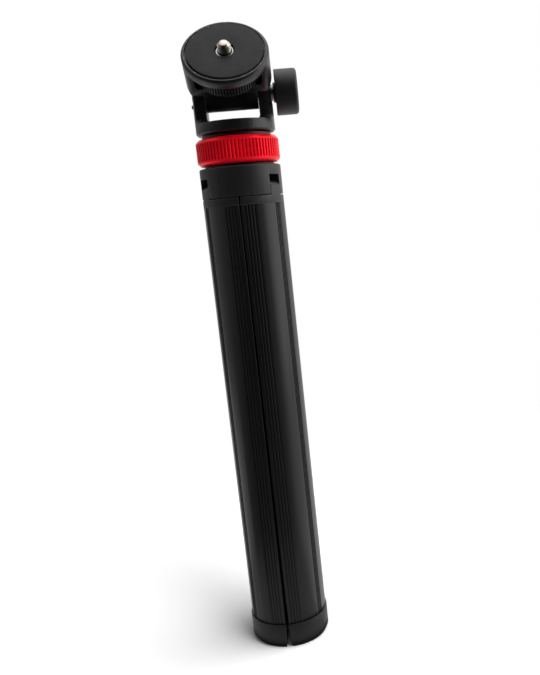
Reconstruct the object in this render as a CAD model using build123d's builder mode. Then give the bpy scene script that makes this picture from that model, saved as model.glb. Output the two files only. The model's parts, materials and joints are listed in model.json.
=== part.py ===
from build123d import *
from math import cos, degrees, hypot, radians, sin, sqrt
import os

os.makedirs("parts", exist_ok=True)

# A folded telescoping tripod, standing on its feet.
# Z runs up the column from the middle of the closed feet. The front is -Y and the tilt knob is near +X.
# The sizes grow outwards from the innermost tube, so each piece keeps its fit in the one round it.

# Clearances shared by the moving fits
running_clearance = 0.06
moving_gap = 0.3

# Column tubes, counted from the outermost inwards
tube_count = 4
inner_tube_radius = 5.8
tube_wall = 0.8
tube_gap = 1.0
tube_foot_clearance = 0.7
tube_stagger = 3.2
mouth_lip_height = 1.3
mouth_spigot_depth = 7.5
mouth_flange = 1.6
slider_height = 15.0
stop_collar_height = 6.5
stop_collar_wall = 1.1

# Folded body
leg_count = 3
first_leg_angle = -30
leg_splay_angle = 0.14
seam_gap = 0.6
seam_edge_radius = 0.35
column_gap = 2.3
notch_wall = 1.69

# Leg rails
rail_length = 223.2
rail_wall = 1.6
flange_wall = 1.5
groove_width = 0.6
groove_depth = 0.3
edge_groove_start = 2.3
edge_groove_pitch = 1.6
edge_groove_count = 4
middle_groove_pitch = 1.0
middle_groove_count = 4
screw_port_radius = 2.4
port_screw_radius = 1.25

# Leg hinges
hinge_band_height = 3.8
band_corner_radius = 1.1
hinge_lug_width = 7.8
hinge_barrel_radius = 3.5
hinge_rise = 3.2
hinge_pin_radius = 1.25
hinge_pin_length = 16.0
hub_leg_gap = 0.4
cap_plug_depth = 10.0
sweep_steps = 4

# Feet
foot_height = 13.8
foot_proud = 0.6
foot_edge_radius = 1.9
foot_inner_radius = 3.6
foot_plug_depth = 7.5
sole_thickness = 1.1
sole_inset = 1.3
foot_screw_grip = 8.5
foot_screw_head_radius = 2.4
foot_screw_head_height = 1.3

# Hub
hub_height = 14.5
notch_headroom = 3.1
shield_corner_radius = 1.0
hub_top_radius = 0.9
hub_step_height = 0.9
hub_step_width = 1.8
neck_wall = 1.5

# Twist lock
ring_proud = 0.25
ring_height = 12.6
ring_chamfer = 1.5
ring_hub_gap = 1.2
ring_lip_height = 2.4
ring_lip_gap = 0.8
flute_count = 72
flute_radius = 0.65
flute_depth = 0.45
flute_margin = 0.7
collet_wall = 1.6
collet_squeeze_gap = 0.94
collet_flange_height = 1.1
collet_lip_gap = 0.2
collet_slit = 1.7

# Pan joint
pan_angle = 3.0
pan_disc_inset = 5.0
pan_disc_height = 1.3
pan_boss_end = 5.5
pan_pin_radius = 0.8
pan_pin_rise = 2.4
pan_washer_inset = 1.5
pan_washer_thickness = 0.3
pan_screw_radius = 2.5
pan_screw_depth = 7.5
pan_screw_head_radius = 4.5
pan_screw_head_height = 2.6
pan_screw_socket_radius = 1.75
pan_screw_socket_depth = 1.6

# Yoke
yoke_inset = 0.75
yoke_base_height = 5.4
yoke_chamfer = 0.9
yoke_arm_wall = 6.65
yoke_arm_depth = 14.0
yoke_fillet = 2.6
tilt_axis_rise = 12.7

# Tilt bolt, nut and knob
bolt_radius = 2.0
nut_flats = 7.0
nut_height = 3.0
nut_proud = 0.4
seat_inset = 0.75
seat_radius = 5.2
spacer_radius = 3.9
spacer_length = 1.5
knob_radius = 10.8
knob_length = 11.0
knob_outer_round = 1.7
knob_inner_chamfer = 0.5
knob_neck_radius = 4.75
knob_neck_length = 1.0
bolt_knob_depth = 7.0

# Mount bracket
tilt_angle = 50.5
plate_proud = 0.1
rim_thickness = 4.0
rim_chamfer = 0.85
bracket_depth = 17.3
window_side_wall = 4.35
window_height = 9.7
window_corner = 1.8
bar_rise = 2.7
bar_thickness = 3.55
bracket_corner = 1.5
lug_radius = 6.9
pad_margin = 1.5
pad_seat_depth = 1.1
pad_proud = 0.85
pad_groove = 0.3
pad_edge_chamfer = 0.35
pad_bore_gap = 0.5

# Camera screw and its thumb wheel
camera_screw_radius = 3.175
camera_screw_neck_radius = 2.6
camera_screw_stand = 4.9
camera_screw_tip = 0.7
wheel_side_gap = 0.85
wheel_knurl_count = 60
wheel_knurl_radius = 0.55
wheel_knurl_depth = 0.38
wheel_chamfer = 0.45
wheel_boss_wall = 1.45
wheel_boss_sink = 1.3

# Radii, from the innermost tube outwards
tube_step = tube_wall + tube_gap
tube_radii = [inner_tube_radius + (tube_count - 1 - index) * tube_step for index in range(tube_count)]
outer_tube_radius = tube_radii[0]
inner_tube_bore = inner_tube_radius - tube_wall
lip_radius = outer_tube_radius + mouth_flange
hub_bore = outer_tube_radius + running_clearance
collar_radius = outer_tube_radius + stop_collar_wall
flange_radius = collar_radius + column_gap
notch_back = hub_bore + notch_wall
hinge_offset = notch_back + moving_gap + hinge_barrel_radius
body_radius = hinge_offset + hinge_barrel_radius
foot_radius = body_radius + foot_proud
port_offset = body_radius - rail_wall - screw_port_radius / 2
notch_width = hinge_lug_width + 2 * moving_gap
neck_bore = hub_bore + collet_wall + collet_squeeze_gap
hub_neck_radius = neck_bore + neck_wall
hub_step_radius = hub_neck_radius + hub_step_width
ring_radius = body_radius + ring_proud
ring_bore = hub_neck_radius + running_clearance
ring_lip_bore = lip_radius + ring_lip_gap
ring_recess_radius = hub_step_radius + moving_gap
yoke_radius = body_radius - yoke_inset
yoke_arm_gap = 2 * (yoke_radius - yoke_arm_wall)
seat_face = yoke_radius - seat_inset
pan_disc_radius = yoke_radius - pan_disc_inset
pan_washer_radius = pan_disc_radius - pan_washer_inset
plate_radius = body_radius + plate_proud
pad_radius = plate_radius - pad_margin - pad_groove
window_width = 2 * (plate_radius - window_side_wall)
wheel_radius = window_width / 2 - wheel_side_gap
wheel_boss_radius = camera_screw_neck_radius + wheel_boss_wall
pad_bore = wheel_boss_radius + pad_bore_gap

# Heights up the body
rail_top = foot_height + rail_length
band_top = rail_top + hinge_band_height
hub_bottom = band_top + hub_leg_gap
hub_top = hub_bottom + hub_height
hinge_height = band_top + hinge_rise
notch_top = hinge_height + hinge_barrel_radius + notch_headroom
ring_bottom = hub_top + ring_hub_gap
ring_top = ring_bottom + ring_height
ring_lip_bottom = ring_top - ring_lip_height
neck_top = ring_lip_bottom - collet_lip_gap - collet_flange_height
hub_neck_height = neck_top - hub_top
pan_disc_bottom = ring_top + moving_gap
pan_disc_top = pan_disc_bottom + pan_disc_height
pan_boss_depth = pan_screw_depth + pan_boss_end
yoke_bottom = pan_disc_top + pan_washer_thickness
yoke_base_top = yoke_bottom + yoke_base_height
tilt_height = yoke_base_top + tilt_axis_rise

# The tubes' lips end flush, just under the pan disc, and their feet just above the foot plugs
lip_top = ring_top - moving_gap
tube_top = lip_top - mouth_lip_height
tube_base = foot_height + foot_plug_depth + tube_foot_clearance
tube_bottoms = [tube_base + index * tube_stagger for index in range(tube_count)]

# Heights in the mount bracket, along the plate's axis from the tilt axis
bar_bottom = lug_radius + bar_rise
window_bottom = bar_bottom + bar_thickness
rim_bottom = window_bottom + window_height
plate_rise = rim_bottom + rim_thickness
pad_seat = plate_rise - pad_seat_depth
pad_top = plate_rise + pad_proud
wheel_bottom = window_bottom + moving_gap
wheel_top = rim_bottom - moving_gap
boss_top = pad_top - wheel_boss_sink

# The yoke's planes, turned a little about the column as in the photograph
pan = radians(pan_angle)
across = Vector(cos(pan), sin(pan), 0)
yoke_plan = Plane(origin=(0, 0, 0), x_dir=across, z_dir=(0, 0, 1))
yoke_side = Plane(origin=(0, 0, 0), x_dir=yoke_plan.y_dir, z_dir=across)
tilt_side = Plane(origin=(0, 0, tilt_height), x_dir=yoke_plan.y_dir, z_dir=across)
tilt_section = Plane(origin=tilt_side.origin, x_dir=across, z_dir=-yoke_plan.y_dir)
tilt_line = Axis(tilt_side.origin, across)

# The mount bracket's planes, tipped forward about the tilt axis
tilt = radians(tilt_angle)
facing = yoke_plan.y_dir * -sin(tilt) + Vector(0, 0, cos(tilt))
head = Plane(origin=tilt_side.origin, x_dir=across, z_dir=facing)
head_front = Plane(origin=head.origin, x_dir=across, z_dir=-head.y_dir)
head_side = Plane(origin=head.origin, x_dir=head.y_dir, z_dir=across)
head_line = Axis(head.origin, facing)


def hub_frame(index):
    """The hub's plane at one leg: X outwards, Z up."""
    angle = radians(first_leg_angle + index * 360 / leg_count)
    return Plane(origin=(0, 0, 0), x_dir=(cos(angle), sin(angle), 0), z_dir=(0, 0, 1))


def leg_frame(index):
    """The leg's plane: the hub's plane, turned outwards about the leg's hinge by the splay."""
    hub_plane = hub_frame(index)
    splay = radians(leg_splay_angle)
    outward = hub_plane.x_dir * cos(splay) + Vector(0, 0, sin(splay))
    upward = hub_plane.x_dir * -sin(splay) + Vector(0, 0, cos(splay))
    pivot = hub_plane.x_dir * hinge_offset + Vector(0, 0, hinge_height)
    return Plane(origin=pivot - outward * hinge_offset - upward * hinge_height, x_dir=outward, z_dir=upward)


def side_plane(frame):
    """The upright plane through the middle of a leg: X outwards, Y up, Z along the hinge pin."""
    return Plane(origin=frame.origin, x_dir=frame.x_dir, z_dir=-frame.y_dir)


def leg_sector(setback, outer, inner):
    """One leg's share of a ring, its two sides set back from the seams."""
    half = radians(180 / leg_count)
    apex = setback / sin(half)
    reach = 2 * outer
    with BuildSketch() as sector:
        Circle(outer)
        Circle(inner, mode=Mode.SUBTRACT)
        with BuildLine():
            Polyline(
                (apex, 0),
                (apex + reach * cos(half), -reach * sin(half)),
                (apex + reach * cos(half), reach * sin(half)),
                close=True,
            )
        make_face(mode=Mode.INTERSECT)
    return sector.sketch


def side_corners(sector):
    """The two corners of a sector that stand furthest to its sides."""
    by_side = sector.vertices().sort_by(Axis.Y)
    return [by_side[0], by_side[-1]]


def groove_angles():
    """Where the lengthwise grooves lie on a rail, from the leg's middle."""
    side = 180 / leg_count - degrees(edge_groove_start / body_radius)
    side_pitch = degrees(edge_groove_pitch / body_radius)
    middle_pitch = degrees(middle_groove_pitch / body_radius)
    beside_seams = [side - step * side_pitch for step in range(edge_groove_count)]
    in_middle = [(step - (middle_groove_count - 1) / 2) * middle_pitch for step in range(middle_groove_count)]
    return beside_seams + [-angle for angle in beside_seams] + in_middle


def hub_edge_sweep(across_leg):
    """How far from the hinge pin the hub's lower edge passes as a leg opens, at a place along the pin."""
    outward = sqrt(body_radius**2 - across_leg**2) - hinge_offset
    return hypot(outward, hinge_height - hub_bottom) + moving_gap


# Sections that each leg shares
leg_outline = leg_sector(seam_gap / 2, body_radius, flange_radius)
leg_hollow = leg_sector(seam_gap / 2 + flange_wall, body_radius - rail_wall, flange_radius)
plug_section = leg_sector(
    seam_gap / 2 + flange_wall + running_clearance,
    body_radius - rail_wall - running_clearance,
    flange_radius,
)

# Legs: an extruded rail, a moulded hinge cap above it and a foot below it
for leg in range(leg_count):
    frame = leg_frame(leg)
    upright = Axis(frame.origin, frame.z_dir)
    outward = Axis(frame.origin, frame.x_dir)
    name = f"leg_{leg + 1}"

    # Rail, one extrusion with a screw port inside and grooves along its face
    with BuildPart() as rail:
        with BuildSketch(frame.offset(foot_height)) as section:
            add(leg_outline)
            fillet(side_corners(section), seam_edge_radius)
            add(leg_hollow, mode=Mode.SUBTRACT)
            with Locations((port_offset, 0)):
                Circle(screw_port_radius)
            Circle(body_radius, mode=Mode.INTERSECT)
            with Locations((port_offset, 0)):
                Circle(port_screw_radius, mode=Mode.SUBTRACT)
            for angle in groove_angles():
                with PolarLocations(body_radius, 1, start_angle=angle):
                    Rectangle(2 * groove_depth, groove_width, mode=Mode.SUBTRACT)
        extrude(amount=rail_length)
    rail.part.label = f"{name}_rail"
    export_step(rail.part, f"parts/{name}_rail.step")

    # Hinge cap, with a barrelled lug that stands in the hub's notch
    with BuildPart() as cap:
        with BuildSketch(frame.offset(rail_top)):
            add(leg_outline)
        extrude(amount=hinge_band_height)
        # The band's upper corners at the seams are well rounded, and then its outer edges a little
        fillet(cap.edges().filter_by(GeomType.LINE).sort_by(upright)[-2:], band_corner_radius)
        fillet(cap.edges().filter_by(upright).sort_by(outward)[-2:], seam_edge_radius)
        with BuildSketch(frame.offset(rail_top)):
            add(plug_section)
            with Locations((port_offset, 0)):
                Circle(screw_port_radius + running_clearance, mode=Mode.SUBTRACT)
        extrude(amount=-cap_plug_depth)
        # The hub's lower edge sweeps a hollow into the cap on each side of the lug
        reach = sqrt(body_radius**2 - hinge_offset**2)
        lug_side = hinge_lug_width / 2
        places = [lug_side + (reach - lug_side) * step / sweep_steps for step in range(sweep_steps + 1)]
        hinge_line = Axis(
            frame.from_local_coords(Vector(hinge_offset, 0, hinge_height)),
            frame.y_dir,
        )
        for side in (-1, 1):
            edge = [(hinge_offset + hub_edge_sweep(place), side * place) for place in places]
            with BuildSketch(frame.offset(hinge_height)):
                with BuildLine():
                    Polyline((hinge_offset, side * reach), (hinge_offset, side * lug_side), *edge, close=True)
                make_face()
            revolve(axis=hinge_line, mode=Mode.SUBTRACT)
        with BuildSketch(side_plane(frame)):
            with Locations((hinge_offset, hinge_height)):
                Circle(hinge_barrel_radius)
            with Locations((hinge_offset, (rail_top + hinge_height) / 2)):
                Rectangle(2 * hinge_barrel_radius, hinge_height - rail_top)
            with Locations((hinge_offset, hinge_height)):
                Circle(hinge_pin_radius + running_clearance, mode=Mode.SUBTRACT)
        extrude(amount=lug_side, both=True)
        # The lug keeps to the round of the body
        with BuildSketch(frame.offset(rail_top - cap_plug_depth)):
            Circle(body_radius)
        extrude(amount=cap_plug_depth + notch_top - rail_top, mode=Mode.INTERSECT)
    cap.part.label = f"{name}_hinge_cap"
    export_step(cap.part, f"parts/{name}_hinge_cap.step")

    # Foot cap, closing the rail's lower end
    with BuildPart() as foot:
        with BuildSketch(frame.offset(sole_thickness)) as tread:
            add(leg_sector(seam_gap / 2, foot_radius, foot_inner_radius))
            fillet(side_corners(tread), seam_edge_radius)
        extrude(amount=foot_height - sole_thickness)
        rim = foot.edges().filter_by(GeomType.CIRCLE).filter_by(lambda edge: edge.radius > body_radius)
        fillet(rim.sort_by(Axis.Z)[0], foot_edge_radius)
        with BuildSketch(frame.offset(foot_height)):
            add(plug_section)
            with Locations((port_offset, 0)):
                Circle(screw_port_radius + running_clearance, mode=Mode.SUBTRACT)
        extrude(amount=foot_plug_depth)
        with Locations(frame.offset(sole_thickness)):
            with Locations(Location((port_offset, 0, 0), (180, 0, 0))):
                CounterBoreHole(
                    port_screw_radius,
                    foot_screw_head_radius,
                    foot_screw_head_height,
                    foot_height - sole_thickness,
                )
    foot.part.label = f"{name}_foot"
    export_step(foot.part, f"parts/{name}_foot.step")

    # Foot screw, driven up into the rail's port and hidden by the sole
    with BuildPart() as foot_screw:
        with BuildSketch(frame.offset(sole_thickness)):
            with Locations((port_offset, 0)):
                Circle(foot_screw_head_radius)
        extrude(amount=foot_screw_head_height)
        with BuildSketch(frame.offset(sole_thickness)):
            with Locations((port_offset, 0)):
                Circle(port_screw_radius)
        extrude(amount=foot_height - sole_thickness + foot_screw_grip)
    foot_screw.part.label = f"{name}_foot_screw"
    export_step(foot_screw.part, f"parts/{name}_foot_screw.step")

    # Rubber sole, cut level where the tripod stands
    with BuildPart() as sole:
        with BuildSketch(frame.offset(sole_thickness)) as tread:
            sole_setback = (seam_gap + sole_inset) / 2
            add(leg_sector(sole_setback, foot_radius - sole_inset, foot_inner_radius + sole_inset))
            fillet(tread.vertices(), seam_edge_radius)
        extrude(amount=-sole_thickness - seam_gap)
        split(bisect_by=Plane.XY)
    sole.part.label = f"{name}_sole"
    export_step(sole.part, f"parts/{name}_sole.step")

# Hub: a moulded collar with a notch for each leg and a threaded neck for the twist lock
with BuildPart() as hub:
    with BuildSketch(Plane.XY.offset(hub_bottom)):
        Circle(body_radius)
    extrude(amount=hub_height)
    fillet(hub.edges().group_by(Axis.Z)[-1], hub_top_radius)
    with BuildSketch(Plane.XY.offset(hub_top)):
        Circle(hub_step_radius)
    extrude(amount=hub_step_height)
    with BuildSketch(Plane.XY.offset(hub_top)):
        Circle(hub_neck_radius)
    extrude(amount=hub_neck_height)
    with BuildSketch(Plane.XY.offset(neck_top)):
        Circle(neck_bore)
    extrude(amount=-hub_neck_height, mode=Mode.SUBTRACT)
    with BuildSketch(Plane.XY.offset(hub_bottom)):
        Circle(hub_bore)
    extrude(amount=hub_height, mode=Mode.SUBTRACT)
    for leg in range(leg_count):
        place = hub_frame(leg)
        notch_plane = Plane(origin=place.x_dir * notch_back, x_dir=place.y_dir, z_dir=place.x_dir)
        with BuildSketch(notch_plane) as notch:
            with Locations((0, (hub_bottom + notch_top) / 2)):
                Rectangle(notch_width, notch_top - hub_bottom)
            with Locations((0, hub_bottom - shield_corner_radius)):
                Rectangle(2 * notch_width, 2 * shield_corner_radius)
            fillet(notch.vertices().filter_by_position(Axis.Y, hub_bottom, hub_bottom)
                   .filter_by(lambda corner: abs(corner.X) < notch_width), shield_corner_radius)
        extrude(amount=foot_radius - notch_back, mode=Mode.SUBTRACT)
        with BuildSketch(side_plane(place)):
            with Locations((hinge_offset, hinge_height)):
                Circle(hinge_pin_radius)
        extrude(amount=hinge_pin_length / 2, both=True, mode=Mode.SUBTRACT)
hub.part.label = "hub"
export_step(hub.part, "parts/hub.step")

# Hinge pins, one through each lug with its ends in the hub
with BuildPart() as leg_hinge_pins:
    for leg in range(leg_count):
        with BuildSketch(side_plane(hub_frame(leg))):
            with Locations((hinge_offset, hinge_height)):
                Circle(hinge_pin_radius)
        extrude(amount=hinge_pin_length / 2, both=True)
leg_hinge_pins.part.label = "leg_hinge_pins"
export_step(leg_hinge_pins.part, "parts/leg_hinge_pins.step")

# Split collet that the twist lock squeezes onto the column
with BuildPart() as lock_collet:
    with BuildSketch(Plane.XY.offset(hub_top + moving_gap)):
        Circle(hub_bore + collet_wall)
    extrude(amount=hub_neck_height - moving_gap)
    with BuildSketch(Plane.XY.offset(neck_top)):
        Circle((hub_neck_radius + neck_bore) / 2)
    extrude(amount=collet_flange_height)
    with BuildSketch(Plane.XY.offset(hub_top)):
        Circle(hub_bore)
        with Locations((0, hub_neck_radius / 2)):
            Rectangle(collet_slit, hub_neck_radius)
    extrude(amount=hub_neck_height + collet_flange_height, mode=Mode.SUBTRACT)
lock_collet.part.label = "lock_collet"
export_step(lock_collet.part, "parts/lock_collet.step")

# Twist lock ring, turned with a chamfer at each end and fluted all round
with BuildPart() as lock_ring:
    with BuildSketch(Plane.XZ):
        with BuildLine():
            Polyline(
                (ring_recess_radius, ring_bottom),
                (ring_radius - ring_chamfer, ring_bottom),
                (ring_radius, ring_bottom + ring_chamfer),
                (ring_radius, ring_top - ring_chamfer),
                (ring_radius - ring_chamfer, ring_top),
                (ring_lip_bore, ring_top),
                (ring_lip_bore, ring_lip_bottom),
                (ring_bore, ring_lip_bottom),
                (ring_bore, ring_bottom + hub_step_height),
                (ring_recess_radius, ring_bottom + hub_step_height),
                close=True,
            )
        make_face()
    revolve(axis=Axis.Z)
    with BuildSketch(Plane.XY.offset(ring_bottom + ring_chamfer + flute_margin)):
        with PolarLocations(ring_radius + flute_radius - flute_depth, flute_count):
            Circle(flute_radius)
    extrude(amount=ring_height - 2 * ring_chamfer - 2 * flute_margin, mode=Mode.SUBTRACT)
lock_ring.part.label = "lock_ring"
export_step(lock_ring.part, "parts/lock_ring.step")

# Column: nested tubes with a mouth ring at each top and a slider at each foot
for index in range(tube_count):
    innermost = index == tube_count - 1
    name = f"section_{index + 1}"
    bore = tube_radii[index] - tube_wall
    top = pan_disc_bottom if innermost else tube_top

    with BuildPart() as tube:
        with BuildSketch(Plane.XY.offset(tube_bottoms[index])):
            Circle(tube_radii[index])
            Circle(bore, mode=Mode.SUBTRACT)
        extrude(amount=top - tube_bottoms[index])
        if innermost:
            with BuildSketch(Plane.YZ):
                with Locations((0, pan_disc_bottom - pan_boss_depth + pan_pin_rise)):
                    Circle(pan_pin_radius)
            extrude(amount=tube_radii[index], both=True, mode=Mode.SUBTRACT)
    tube.part.label = f"{name}_tube"
    export_step(tube.part, f"parts/{name}_tube.step")

    if not innermost:
        with BuildPart() as mouth_ring:
            with BuildSketch(Plane.XY.offset(tube_top)):
                Circle(lip_radius if index == 0 else tube_radii[index])
            extrude(amount=mouth_lip_height)
            with BuildSketch(Plane.XY.offset(tube_top)):
                Circle(bore)
            extrude(amount=-mouth_spigot_depth)
            with BuildSketch(Plane.XY.offset(lip_top)):
                Circle(tube_radii[index + 1] + running_clearance)
            extrude(amount=-mouth_lip_height - mouth_spigot_depth, mode=Mode.SUBTRACT)
        mouth_ring.part.label = f"{name}_mouth_ring"
        export_step(mouth_ring.part, f"parts/{name}_mouth_ring.step")

    if index > 0:
        with BuildPart() as slider:
            with BuildSketch(Plane.XY.offset(tube_bottoms[index])):
                Circle(tube_radii[index - 1] - tube_wall - running_clearance)
                Circle(tube_radii[index], mode=Mode.SUBTRACT)
            extrude(amount=slider_height)
        slider.part.label = f"{name}_slider"
        export_step(slider.part, f"parts/{name}_slider.step")

# Collar that stops the outer tube under the hub, and the plug in its foot
with BuildPart() as stop_collar:
    with BuildSketch(Plane.XY.offset(tube_base)):
        Circle(collar_radius)
        Circle(outer_tube_radius, mode=Mode.SUBTRACT)
    extrude(amount=stop_collar_height)
stop_collar.part.label = "section_1_stop_collar"
export_step(stop_collar.part, "parts/section_1_stop_collar.step")

with BuildPart() as end_plug:
    with BuildSketch(Plane.XY.offset(tube_base)):
        Circle(outer_tube_radius - tube_wall)
    extrude(amount=tube_stagger - moving_gap)
end_plug.part.label = "section_1_end_plug"
export_step(end_plug.part, "parts/section_1_end_plug.step")

# Pan base: the disc under the head, its boss pinned in the innermost tube
with BuildPart() as pan_base:
    with BuildSketch(Plane.XY.offset(pan_disc_bottom)):
        Circle(pan_disc_radius)
    extrude(amount=pan_disc_height)
    with BuildSketch(Plane.XY.offset(pan_disc_bottom)):
        Circle(inner_tube_bore)
    extrude(amount=-pan_boss_depth)
    with BuildSketch(Plane.XY.offset(pan_disc_top)):
        Circle(pan_screw_radius)
    extrude(amount=-pan_disc_height - pan_screw_depth, mode=Mode.SUBTRACT)
    with BuildSketch(Plane.YZ):
        with Locations((0, pan_disc_bottom - pan_boss_depth + pan_pin_rise)):
            Circle(pan_pin_radius)
    extrude(amount=inner_tube_bore, both=True, mode=Mode.SUBTRACT)
pan_base.part.label = "pan_base"
export_step(pan_base.part, "parts/pan_base.step")

with BuildPart() as pan_pin:
    with BuildSketch(Plane.YZ):
        with Locations((0, pan_disc_bottom - pan_boss_depth + pan_pin_rise)):
            Circle(pan_pin_radius)
    extrude(amount=inner_tube_radius, both=True)
pan_pin.part.label = "pan_pin"
export_step(pan_pin.part, "parts/pan_pin.step")

# Friction washer and screw that the yoke turns on
with BuildPart() as pan_washer:
    with BuildSketch(Plane.XY.offset(pan_disc_top)):
        Circle(pan_washer_radius)
        Circle(pan_screw_radius, mode=Mode.SUBTRACT)
    extrude(amount=pan_washer_thickness)
pan_washer.part.label = "pan_washer"
export_step(pan_washer.part, "parts/pan_washer.step")

screw_seat = yoke_base_top - pan_screw_head_height - running_clearance
with BuildPart() as pan_screw:
    with BuildSketch(Plane.XY.offset(screw_seat + running_clearance)):
        Circle(pan_screw_head_radius)
    extrude(amount=pan_screw_head_height)
    with BuildSketch(Plane.XY.offset(screw_seat + running_clearance)):
        Circle(pan_screw_radius)
    extrude(amount=pan_disc_bottom - pan_screw_depth - screw_seat - running_clearance)
    with BuildSketch(Plane.XY.offset(yoke_base_top)):
        RegularPolygon(pan_screw_socket_radius, 6)
    extrude(amount=-pan_screw_socket_depth, mode=Mode.SUBTRACT)
pan_screw.part.label = "pan_screw"
export_step(pan_screw.part, "parts/pan_screw.step")

# Yoke: a round base with two arms, cut from one round bar
with BuildPart() as yoke:
    with BuildSketch(Plane.XY.offset(yoke_bottom)):
        Circle(yoke_radius)
    extrude(amount=tilt_height + yoke_arm_depth / 2 - yoke_bottom)
    with BuildSketch(yoke_side):
        with Locations((0, yoke_bottom + yoke_base_height / 2)):
            Rectangle(2 * yoke_radius, yoke_base_height)
        with Locations((0, (yoke_base_top + tilt_height) / 2)):
            Rectangle(yoke_arm_depth, tilt_height - yoke_base_top)
        with Locations((0, tilt_height)):
            Circle(yoke_arm_depth / 2)
    extrude(amount=yoke_radius, both=True, mode=Mode.INTERSECT)
    with BuildSketch(yoke_plan.offset(yoke_base_top)):
        Rectangle(yoke_arm_gap, 2 * yoke_radius)
    extrude(amount=tilt_axis_rise + yoke_arm_depth, mode=Mode.SUBTRACT)
    chamfer(yoke.edges().group_by(Axis.Z)[0], yoke_chamfer)
    straight = yoke.edges().filter_by(GeomType.LINE)
    roots = straight.filter_by_position(
        Axis.Z,
        yoke_base_top - running_clearance,
        yoke_base_top + running_clearance,
    )
    fillet(roots, yoke_fillet)
    # Bolt hole, flat seats outside both arms and a pocket for the nut
    with BuildSketch(tilt_side):
        Circle(bolt_radius + running_clearance)
    extrude(amount=yoke_radius, both=True, mode=Mode.SUBTRACT)
    for side in (-1, 1):
        with BuildSketch(tilt_side.offset(side * seat_face)):
            Circle(seat_radius)
        extrude(amount=side * yoke_radius, mode=Mode.SUBTRACT)
    with BuildSketch(tilt_side.offset(nut_height - nut_proud - seat_face)):
        RegularPolygon(nut_flats / 2, 6, major_radius=False)
    extrude(amount=-nut_height, mode=Mode.SUBTRACT)
    # Counterbore for the pan screw
    with BuildSketch(Plane.XY.offset(screw_seat)):
        Circle(pan_screw_head_radius + moving_gap)
    extrude(amount=yoke_base_height, mode=Mode.SUBTRACT)
    with BuildSketch(Plane.XY.offset(yoke_bottom)):
        Circle(pan_screw_radius + running_clearance)
    extrude(amount=yoke_base_height, mode=Mode.SUBTRACT)
yoke.part.label = "yoke"
export_step(yoke.part, "parts/yoke.step")

with BuildPart() as tilt_nut:
    with BuildSketch(tilt_side.offset(nut_height - nut_proud - seat_face)):
        RegularPolygon(nut_flats / 2, 6, major_radius=False)
        Circle(bolt_radius + running_clearance, mode=Mode.SUBTRACT)
    extrude(amount=-nut_height)
tilt_nut.part.label = "tilt_nut"
export_step(tilt_nut.part, "parts/tilt_nut.step")

# Tilt knob: a smooth turned knob on the clamping bolt, with a spacer against the arm
spacer_start = seat_face + running_clearance
neck_start = spacer_start + spacer_length
knob_start = neck_start + knob_neck_length
knob_end = knob_start + knob_length
bolt_end = knob_start + bolt_knob_depth

with BuildPart() as knob_spacer:
    with BuildSketch(tilt_side.offset(spacer_start)):
        Circle(spacer_radius)
        Circle(bolt_radius, mode=Mode.SUBTRACT)
    extrude(amount=spacer_length)
knob_spacer.part.label = "knob_spacer"
export_step(knob_spacer.part, "parts/knob_spacer.step")

with BuildPart() as tilt_knob:
    with BuildSketch(tilt_section):
        with BuildLine():
            Polyline(
                (neck_start, bolt_radius),
                (neck_start, knob_neck_radius),
                (knob_start, knob_neck_radius),
                (knob_start, knob_radius - knob_inner_chamfer),
                (knob_start + knob_inner_chamfer, knob_radius),
                (knob_end, knob_radius),
                (knob_end, 0),
                (bolt_end, 0),
                (bolt_end, bolt_radius),
                close=True,
            )
        make_face()
    revolve(axis=tilt_line)
    fillet(tilt_knob.edges().sort_by(tilt_line)[-1], knob_outer_round)
tilt_knob.part.label = "tilt_knob"
export_step(tilt_knob.part, "parts/tilt_knob.step")

with BuildPart() as tilt_bolt:
    with BuildSketch(tilt_side.offset(-seat_face - nut_proud)):
        Circle(bolt_radius)
    extrude(amount=seat_face + nut_proud + bolt_end)
tilt_bolt.part.label = "tilt_bolt"
export_step(tilt_bolt.part, "parts/tilt_bolt.step")

# Mount bracket: the round plate, the windowed frame under it and the lug on the tilt axis
lug_half_width = yoke_arm_gap / 2 - moving_gap
with BuildPart() as mount_bracket:
    with BuildSketch(head.offset(rim_bottom)):
        Circle(plate_radius)
    extrude(amount=rim_thickness)
    chamfer(mount_bracket.edges().sort_by(head_line)[-1], rim_chamfer)
    with BuildSketch(head.offset(bar_bottom)):
        Circle(plate_radius)
        Rectangle(2 * plate_radius, bracket_depth, mode=Mode.INTERSECT)
    extrude(amount=rim_bottom - bar_bottom)
    lower_sides = mount_bracket.edges().filter_by(GeomType.CIRCLE)
    below = [edge for edge in lower_sides if head.to_local_coords(edge.center()).Z < window_bottom]
    fillet(below, bracket_corner)
    with BuildSketch(head_front):
        with Locations((0, window_bottom + window_height / 2)):
            RectangleRounded(window_width, window_height, window_corner)
    extrude(amount=bracket_depth / 2, both=True, mode=Mode.SUBTRACT)
    with BuildSketch(head_side):
        Circle(lug_radius)
        with Locations((0, bar_bottom / 2)):
            Rectangle(2 * lug_radius, bar_bottom)
    extrude(amount=lug_half_width, both=True)
    with BuildSketch(head_side):
        Circle(bolt_radius + running_clearance)
    extrude(amount=lug_half_width, both=True, mode=Mode.SUBTRACT)
    with BuildSketch(head.offset(pad_seat)):
        Circle(pad_radius + pad_groove)
    extrude(amount=pad_seat_depth, mode=Mode.SUBTRACT)
    with BuildSketch(head.offset(rim_bottom)):
        Circle(wheel_boss_radius + moving_gap)
    extrude(amount=rim_thickness, mode=Mode.SUBTRACT)
mount_bracket.part.label = "mount_bracket"
export_step(mount_bracket.part, "parts/mount_bracket.step")

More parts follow.
